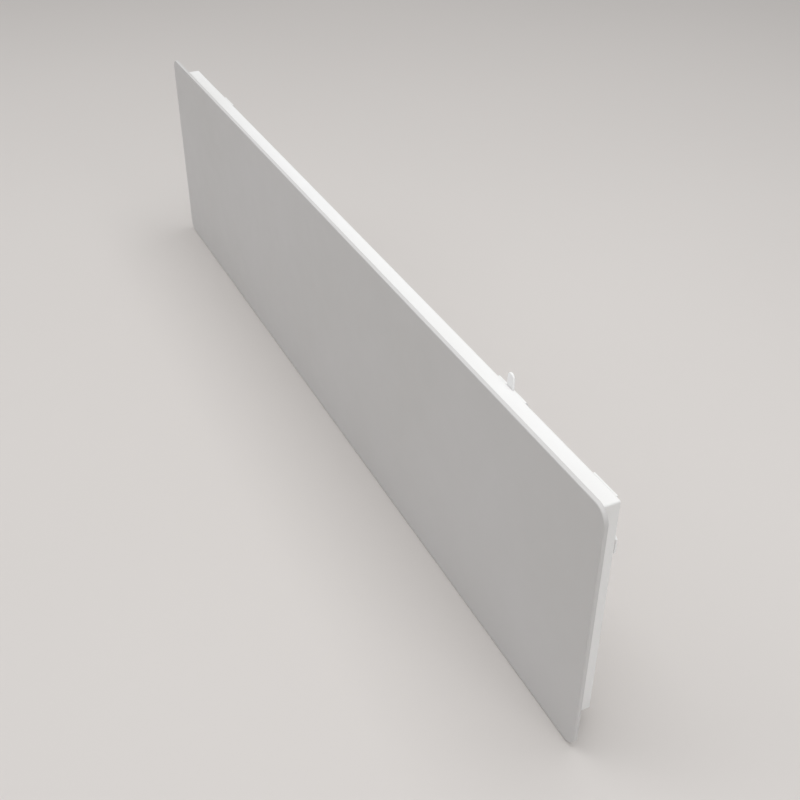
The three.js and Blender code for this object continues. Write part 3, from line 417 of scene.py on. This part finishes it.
# ---- floor: the plate's lower edge stands on it, as the photograph poses the heater ----
plateLow, plateHigh = [np.array(corner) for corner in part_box("front_plate")]
floorLine = np.linspace(-studio["floorSpan"] / 2, studio["floorSpan"] / 2, studio["floorPoints"])
u, v = np.meshgrid(floorLine, floorLine)
floorGrid = np.stack([u, v, np.full_like(u, plateLow[2] - studio["floorGap"])], axis=2)
floor = gridObject("studioFloor", floorGrid, closeU=False, capStart=False, capEnd=False)
floor.data.materials.append(materials["studioFloorPainted"])


# ---- front plate ----
frontPlate = {
    "corner": 16 * mm,
    "edge": 1.2 * mm,  # round of the front edge
    "sheet": 1.5 * mm,
    "hem": 0.5 * mm,  # round of the rim's back edge
    "lead": 0.5 * mm,  # narrow flat run beside each round, which keeps its shading tight
    "foot": 0.3 * mm,  # the same inside, where the rim meets the sheet
    "cornerSteps": 28,
    "edgeSteps": 8,
    "hemSteps": 4,
}


def roundedRectangle(low, high, radius, inset, steps):
    # corner centres plus a circle of the radius less the inset, with the straight runs between
    angles = np.radians(np.linspace(0, 90, steps + 1))
    centres = np.array([[high[0] - radius, high[1] - radius], [low[0] + radius, high[1] - radius],
                        [low[0] + radius, low[1] + radius], [high[0] - radius, low[1] + radius]])
    turns = angles[None, :] + np.radians([0, 90, 180, 270])[:, None]
    rays = np.stack([np.cos(turns), np.sin(turns)], axis=2)
    return (centres[:, None] + rays * (radius - inset)).reshape(-1, 2)


def trayGrid(low, high, settings):
    # the tray's cross-section as (inset, y) pairs, carried round the plate's outline
    edge, sheet, hem, lead = [settings[name] for name in ("edge", "sheet", "hem", "lead")]
    front, rim, inner = low[1], high[1], low[1] + sheet
    hemSteps = settings["hemSteps"]
    frontRound = arc((edge, front + edge), edge, -90, -180, settings["edgeSteps"])
    hemOuter = arc((hem, rim - hem), hem, 180, 90, hemSteps)
    hemInner = arc((sheet - hem, rim - hem), hem, 90, 0, hemSteps)
    section = np.concatenate([
        [[edge + lead, front]], frontRound, [[0, front + 2 * edge]], hemOuter, hemInner,
        [[sheet, inner + settings["foot"]], [sheet, inner], [sheet + lead, inner]],
    ])
    corner, steps = settings["corner"], settings["cornerSteps"]
    rings = np.array([
        roundedRectangle(low[[0, 2]], high[[0, 2]], corner, inset, steps) for inset in section[:, 0]
    ])
    depth = np.broadcast_to(section[:, 1][:, None, None], rings[:, :, :1].shape)
    return np.concatenate([rings[:, :, :1], depth, rings[:, :, 1:]], axis=2)


frontTray = faceOut(gridObject("frontTray", trayGrid(plateLow, plateHigh, frontPlate)))
frontCoat = materials["greyWhitePowderCoatedSteel"]
dress(frontTray, frontCoat, "white_powder_coat", "heater", "front_plate")
print("front plate made")


# ---- folded and cut sheet metal: the case, the wall rail and its arms ----
sheetPieces = {  # name, body, round of its edges
    "rear_case": ("foldedCase", "heater", 0.35 * mm),
    "wall_rail": ("foldedRail", "bracket", 0.4 * mm),
    "hook_arm_left": ("hookArmLeft", "bracket", 0.35 * mm),
    "hook_arm_right": ("hookArmRight", "bracket", 0.35 * mm),
    "lock_arm": ("lockArm", "bracket", 0.35 * mm),
}
for node, (name, body, width) in sheetPieces.items():
    sheetPiece = softenedCopy(node, name, width)
    dress(sheetPiece, materials["whitePowderCoatedSteel"], "white_powder_coat", body, node)
print("sheet metal made")


# ---- moulded pieces ----
mouldedPieces = {  # name, body, finish, material slot, round of its edges
    "connection_box": ("connectionBox", "heater", "whiteAbsMoulded", "white_plastic", 0.5 * mm),
    "connection_lid": ("connectionLid", "heater", "whiteAbsMoulded", "white_plastic", 0.5 * mm),
    "switch_housing": ("switchHousing", "heater", "blackNylonMoulded", "black_plastic", 0.3 * mm),
    "power_rocker": ("powerRocker", "rocker", "blackNylonMoulded", "black_plastic", 0.35 * mm),
    "lock_lever": ("lockLever", "lock", "milkyNylonMoulded", "white_plastic", 0.5 * mm),
    "terminal_block": ("terminalBlock", "heater", "whiteAbsMoulded", "white_plastic", 0.3 * mm),
}
for node, (name, body, finish, slotName, width) in mouldedPieces.items():
    dress(softenedCopy(node, name, width), materials[finish], slotName, body, node)
print("mouldings made")


# ---- turned pieces: screws, rivets, spacers, the lock pin; their widths are radii ----
def boxCentre(node):
    # the middle of a node's box, and the box's two corners
    low, high = [np.array(corner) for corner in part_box(node)]
    return (low + high) / 2, low, high


screwKinds = {  # head is the head's height
    "case": {
        "nodes": [f"case_screw_{i}" for i in range(1, 7)], "head": 2.4 * mm, "shank": 1.95 * mm,
    },
    "lid": {"nodes": ["lid_screw_1", "lid_screw_2"], "head": 1.6 * mm, "shank": 1.4 * mm},
    "earth": {"nodes": ["earth_screw"], "head": 2.4 * mm, "shank": 1.95 * mm},
}
panHead = {
    "chamfer": 0.3 * mm,
    "fullness": 0.55,  # power of the cosine: a lower one gives a squarer crown
    "crown": (22, 89, 12),  # first and last angle in degrees, and the points between them
    "recessWidth": 0.13,  # half the bar's width, as a share of the head's radius
    "recessReach": 0.58,  # half the bar's length, as the same share
    "recessDepth": 0.6,  # share of the head's height
    "recessTaper": 0.6,  # length of the bar's floor, as a share of its top's
    "recessRise": 1 * mm,  # how far the cutter stands out of the head
    "sides": 48,
}


def screwProfile(length, height, radius, shank):
    # half a pan-head screw from its point up;
    # the crown is radius * cos(a) ** fullness across and height * sin(a) up
    seat, chamfer = length - height, panHead["chamfer"]
    angle = np.radians(np.linspace(*panHead["crown"]))
    crown = [radius * np.cos(angle) ** panHead["fullness"], seat + height * np.sin(angle)]
    return np.concatenate([
        [[chamfer, 0], [shank - chamfer, 0], [shank, chamfer], [shank, seat],
         [radius - chamfer / 2, seat], [radius, seat + chamfer / 2]],
        np.stack(crown, axis=1),
    ])


def crossCutter(radius, top, depth):
    # two bars that cross, each a rectangle drawn up from a shorter one, as the driver's recess
    half, arm = radius * panHead["recessWidth"], radius * panHead["recessReach"]
    taper, rise = panHead["recessTaper"], panHead["recessRise"]
    bars = []
    for a, b, shorten in ((arm, half, (taper, 1)), (half, arm, (1, taper))):
        upper = np.array([[-a, -b], [a, -b], [a, b], [-a, b]])
        lower = upper * shorten
        rings = np.array([
            np.column_stack([lower[:, 0], np.full(4, top - depth), lower[:, 1]]),
            np.column_stack([upper[:, 0], np.full(4, top + rise), upper[:, 1]]),
        ])
        bars.append(faceOut(gridObject("recessBar", rings)))
    return bars


def applyCut(piece, tools):
    # takes the tools' volumes out of the piece and removes the tools
    for tool in tools:
        cut = piece.modifiers.new("recess", "BOOLEAN")
        cut.operation = "DIFFERENCE"
        cut.solver = "EXACT"
        cut.object = tool
    bpy.context.view_layer.update()
    evaluated = piece.evaluated_get(bpy.context.evaluated_depsgraph_get())
    mesh = bpy.data.meshes.new_from_object(evaluated)
    piece.modifiers.clear()
    piece.data = mesh
    for tool in tools:
        bpy.data.objects.remove(tool)
    return faceOut(piece, sharpAngle=40)


def copyTo(template, name, shift):
    # the template's mesh moved to its place, so that the object itself stays at the origin
    mesh = template.data.copy()
    mesh.transform(Matrix.Translation(shift))
    piece = bpy.data.objects.new(name, mesh)
    scene.collection.objects.link(piece)
    return piece


for kind, settings in screwKinds.items():
    centre, low, high = boxCentre(settings["nodes"][0])
    length, radius = high[1] - low[1], (high[0] - low[0]) / 2
    profile = screwProfile(length, settings["head"], radius, settings["shank"])
    blank = turnedPiece(f"{kind}ScrewTemplate", profile, (0, 0, 0), sides=panHead["sides"])
    recess = crossCutter(radius, length, settings["head"] * panHead["recessDepth"])
    template = applyCut(blank, recess)
    for number, node in enumerate(settings["nodes"], 1):
        centre, low, high = boxCentre(node)
        screw = copyTo(template, f"{kind}Screw{number}", (centre[0], low[1], centre[2]))
        dress(screw, materials["zincPlatedSteel"], "zinc_steel", "heater", node)
    bpy.data.objects.remove(template)

armRivet = {
    "core": 0.2 * mm,  # radius where its foot is closed
    "shank": 1.6 * mm,
    "tall": 1.2 * mm,  # height of the dome
    "plate": -4 * mm,  # front face of the arm's plate
    "dome": (8, 88, 10),  # first and last angle in degrees, and the steps between them
    "sides": 48,
}
for number in range(1, 7):
    node = f"arm_rivet_{number}"
    centre, low, high = boxCentre(node)
    head, shank, plate = (high[0] - low[0]) / 2, armRivet["shank"], armRivet["plate"]
    dome = arc((0, 0), 1, *armRivet["dome"]) * (head, armRivet["tall"])
    profile = np.concatenate([
        [[armRivet["core"], 0], [shank, 0], [shank, plate], [head, plate]],
        np.stack([dome[:, 0], plate - dome[:, 1]], axis=1),
    ])
    place = (centre[0], 0, centre[2])
    rivet = turnedPiece(f"armRivet{number}", profile, place, sides=armRivet["sides"])
    dress(rivet, materials["zincPlatedSteel"], "zinc_steel", "bracket", node)

wallSpacer = {
    "core": 0.4 * mm,  # radius where its ends are closed
    "back": -28 * mm,  # outer face of the case's back
    "waist": 8 * mm,
    "stud": 2.9 * mm,  # what sits in the case's hole
    "studLead": (0.6 * mm, 2 * mm),  # how far the stud's tip narrows, and over what length
    "flange": 3 * mm,  # thickness
    "rounds": (0.8 * mm, 2 * mm, 1 * mm),  # of the flange's rim, the neck and the wall face
    "steps": (5, 8, 6),  # of the same rounds
    "groove": (-5 * mm, -3.5 * mm, 0.4 * mm),  # from, to and depth of the ring near the wall
}
for side in ("left", "right"):
    node = f"wall_spacer_{side}"
    centre, low, high = boxCentre(node)
    core, back, waist, stud = [wallSpacer[name] for name in ("core", "back", "waist", "stud")]
    rimRound, neckRound, faceRound = wallSpacer["rounds"]
    rimSteps, neckSteps, faceSteps = wallSpacer["steps"]
    narrow, leadIn = wallSpacer["studLead"]
    grooveFrom, grooveTo, grooveDeep = wallSpacer["groove"]
    rim, tip, face, flange = (high[0] - low[0]) / 2, low[1], high[1], back + wallSpacer["flange"]
    profile = np.concatenate([
        [[core, tip], [stud - narrow, tip], [stud, tip + leadIn], [stud, back], [rim, back]],
        arc((rim - rimRound, flange - rimRound), rimRound, 0, 90, rimSteps),
        arc((waist + neckRound, flange + neckRound), neckRound, 270, 180, neckSteps),
        [[waist, grooveFrom], [waist - grooveDeep, grooveFrom + grooveDeep],
         [waist - grooveDeep, grooveTo - grooveDeep], [waist, grooveTo]],
        arc((waist - faceRound, face - faceRound), faceRound, 0, 90, faceSteps),
        [[core, face]],
    ])
    spacer = turnedPiece(f"wallSpacer{side.title()}", profile, (centre[0], 0, centre[2]))
    dress(spacer, materials["greyEpdmMoulded"], "grey_rubber", "heater", node)

lockPinShape = {
    "radius": 2 * mm,
    "head": 1.2 * mm,  # thickness
    "chamfer": 0.3 * mm,
    "sides": 48,
}
centre, low, high = boxCentre("lock_pin")
radius, thick, chamfer = [lockPinShape[name] for name in ("radius", "head", "chamfer")]
head, left, right = (high[1] - low[1]) / 2, low[0], high[0]
pinProfile = [
    [chamfer, left], [head - chamfer, left], [head, left + chamfer], [head, left + thick],
    [radius, left + thick], [radius, right - thick],
    [head, right - thick], [head, right - chamfer], [head - chamfer, right], [chamfer, right],
]
pinPlace = (0, centre[1], centre[2])
lockPin = turnedPiece("lockPin", pinProfile, pinPlace, axis="x", sides=lockPinShape["sides"])
dress(lockPin, materials["zincPlatedSteel"], "zinc_steel", "bracket", "lock_pin")
print("turned pieces made")


# ---- lock spring: one wire, with a leg behind the lever and a leg to the arm's plate ----
lockSpring = {
    "wire": 0.9 * mm,
    "turns": 5,
    "radius": 3.4 * mm,
    "pitch": 1.45 * mm,
    "leave": np.pi / 5,  # the coil stops this far short of a whole turn
    "leg": 12 * mm,  # upper leg above the pin
    "hook": 4 * mm,  # its run behind the lever's limb
    "sideStep": 2.4 * mm,  # from the end of that run to the coil
    "hookBend": 0.6 * mm,  # length at the run's end that the bend takes up
    "bend": [(-0.5 * mm, 0.4 * mm, -0.5 * mm), (0, 0.8 * mm, -1.8 * mm)],  # from the leg's corner
    "limb": 1.5 * mm,  # half the limb's thickness
    "plate": -4 * mm,  # front face of the arm's plate
    "seat": 0.1 * mm,  # gap between the wire and what it lies on
    "tipStart": 0.04,  # share of the lower leg at which its first point lies
    "points": (60, 260, 24),  # along the upper leg, the coil and the lower leg
    "easing": 7,  # points over which the upper leg's corners are averaged
    "reference": (0.8, 0.45, 0.4),
}


def springPath(settings, pin, hookStart):
    # a helix round the pin: x = start + pitch * a / 2 pi, y = r * cos(a), z = -r * sin(a);
    # the upper leg is a bent line with its corners averaged, the lower one leaves straight
    pinY, pinZ = pin
    radius, standOff = settings["radius"], settings["wire"] / 2 + settings["seat"]
    legPoints, coilPoints, tipPoints = settings["points"]
    hookEnd = hookStart + settings["hook"]
    start = hookEnd + settings["sideStep"]
    angle = np.linspace(0, 2 * np.pi * settings["turns"] - settings["leave"], coilPoints)
    coil = np.stack([
        start + settings["pitch"] * angle / (2 * np.pi),
        pinY + radius * np.cos(angle),
        pinZ - radius * np.sin(angle),
    ], axis=1)
    limbY = pinY + settings["limb"] + standOff
    legZ = pinZ + settings["leg"]
    leg = np.array([
        [hookStart, limbY, legZ],
        [hookEnd - settings["hookBend"], limbY, legZ],
        *(np.array([start, limbY, legZ]) + settings["bend"]),
        [start, pinY + radius, pinZ + radius],
    ])
    knots = np.concatenate([[0], np.cumsum(np.linalg.norm(np.diff(leg, axis=0), axis=1))])
    even = np.linspace(0, knots[-1], legPoints)
    line = np.stack([np.interp(even, knots, leg[:, i]) for i in range(3)], axis=1)
    easing = settings["easing"]
    kernel = np.ones(easing) / easing
    before, after = [np.repeat(end, easing // 2, 0) for end in (line[:1], line[-1:])]
    padded = np.concatenate([before, line, after])
    eased = np.stack([np.convolve(padded[:, i], kernel, "valid") for i in range(3)], axis=1)
    plateY = settings["plate"] - standOff
    drop = (plateY - coil[-1, 1]) / np.tan(settings["leave"])
    tip = np.array([coil[-1, 0], plateY, coil[-1, 2] - drop])
    share = np.linspace(settings["tipStart"], 1, tipPoints)[:, None]
    straight = coil[-1] + (tip - coil[-1]) * share
    return np.concatenate([eased, coil, straight])


pinCentre = boxCentre("lock_pin")[0]
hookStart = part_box("lock_spring")[0][0]
wirePath = springPath(lockSpring, pinCentre[1:], hookStart)
spring = tubePiece("lockSpring", wirePath, lockSpring["wire"] / 2, lockSpring["reference"])
dress(spring, materials["drawnSpringWire"], "zinc_steel", "lock", "lock_spring")
print("lock spring made")


# ---- cable gland ----
cableGland = {
    "bore": 3.6 * mm,  # radius, as the rest of the widths
    "thread": 5.6 * mm,
    "hexagon": 7.6 * mm,  # to its corners
    "hexHeight": 4 * mm,
    "wideFrom": 6.2 * mm,  # what is wider is the hexagon of the body, or the grip of the nut
    "chamfers": [  # inward and upward: thread's foot, hexagon's foot, hexagon's top, thread's top
        (0.3 * mm, 0.4 * mm), (0.7 * mm, 0.6 * mm), (0.4 * mm, 0.4 * mm), (0.4 * mm, 0.5 * mm),
    ],
    "nose": 5.6 * mm,  # the nut's narrow end
    "noseHeight": 3 * mm,
    "noseStep": 0.6 * mm,  # the nose ends this far below the shoulder
    "grip": 7.6 * mm,
    "round": 1 * mm,
    "roundSteps": 6,
    "rim": 0.5 * mm,  # chamfer of the nut's upper edge
    "socket": (5.9 * mm, 5.7 * mm),  # radius, and how far below the hexagon its floor lies
    "ribs": 12,
    "ribDepth": 0.035,  # share of the radius
    "sides": (96, 144),  # of the body and the nut
}


def hexRadius(radius, angle):
    # hexagon * cos 30 / cos of the angle from the nearest flat, and no more than the chamfer's
    # radius
    flats = np.cos(np.pi / 6) / np.cos((angle + np.pi / 6) % (np.pi / 3) - np.pi / 6)
    hexagon = np.where(radius > cableGland["wideFrom"], cableGland["hexagon"] * flats, radius)
    return np.minimum(radius, hexagon)


def ribbedRadius(radius, angle):
    # the grip's radius less ribDepth * (1/2 + 1/2 cos(ribs * angle)) ** 2 of itself
    grooves = (0.5 + 0.5 * np.cos(cableGland["ribs"] * angle)) ** 2
    ribbed = radius * (1 - cableGland["ribDepth"] * grooves)
    return np.where(radius > cableGland["wideFrom"], ribbed, radius)


bore, thread, hexagon = [cableGland[name] for name in ("bore", "thread", "hexagon")]
threadFoot, hexFoot, hexTop, threadTop = cableGland["chamfers"]
bodySides, nutSides = cableGland["sides"]
centre, low, high = boxCentre("gland_body")
glandPlace = (centre[0], centre[1], 0)
foot, top, boxLow = low[2], high[2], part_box("connection_box")[0][2]
hexLow = boxLow - cableGland["hexHeight"]
bodyProfile = [
    [bore, foot], [thread - threadFoot[0], foot], [thread, foot + threadFoot[1]],
    [thread, hexLow], [hexagon - hexFoot[0], hexLow], [hexagon, hexLow + hexFoot[1]],
    [hexagon, boxLow - hexTop[1]], [hexagon - hexTop[0], boxLow], [thread, boxLow],
    [thread, top - threadTop[1]], [thread - threadTop[0], top], [bore, top], [bore, foot],
]
glandBody = turnedPiece("glandBody", bodyProfile, glandPlace, "z", bodySides, hexRadius)
dress(glandBody, materials["greyNylonMoulded"], "grey_plastic", "heater", "gland_body")

nose, grip, rim, turn = [cableGland[name] for name in ("nose", "grip", "rim", "round")]
socket, floorDepth = cableGland["socket"]
steps = cableGland["roundSteps"]
centre, low, high = boxCentre("gland_nut")
foot, top, socketFloor = low[2], high[2], hexLow - floorDepth
shoulder = foot + cableGland["noseHeight"]
nutProfile = np.concatenate([
    [[bore, foot], [nose - turn, foot]],
    arc((nose - turn, foot + turn), turn, -90, 0, steps),
    [[nose, shoulder - cableGland["noseStep"]]],
    arc((grip - turn, shoulder + turn), turn, -90, 0, steps),
    [[grip, top - rim], [grip - rim, top], [socket, top],
     [socket, socketFloor], [bore, socketFloor], [bore, foot]],
])
glandNut = turnedPiece("glandNut", nutProfile, glandPlace, "z", nutSides, ribbedRadius)
dress(glandNut, materials["greyNylonMoulded"], "grey_plastic", "heater", "gland_nut")
print("cable gland made")


# ---- inner pieces, which keep their CAD shapes ----
innerFinishes = {
    "siliconeCalendered": ["heating_mat"],
    "copperRolled": ["bus_strip_upper", "bus_strip_lower"],
    "aluminiumFoilRolled": ["foil_sheet"],
    "mineralFibrePressed": ["insulation_board"],
    "greyEpdmMoulded": ["case_gasket"],
    "greyNylonMoulded": ["gland_locknut"],
    "blackNylonMoulded": ["thermal_cutout_1", "thermal_cutout_2"],
    "brownSiliconeExtruded": ["lead_live", "lead_switched", "lead_link", "lead_mat"],
    "blueSiliconeExtruded": ["lead_neutral"],
    "greenSiliconeExtruded": ["lead_earth"],
    "zincPlatedSteel": [f"case_post_{i}" for i in range(1, 7)],
}
for finish, nodes in innerFinishes.items():
    for node in nodes:
        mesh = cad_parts[node].data
        mesh.materials.clear()
        mesh.materials.append(materials[finish])
print("inner pieces dressed:", sum(len(nodes) for nodes in innerFinishes.values()))
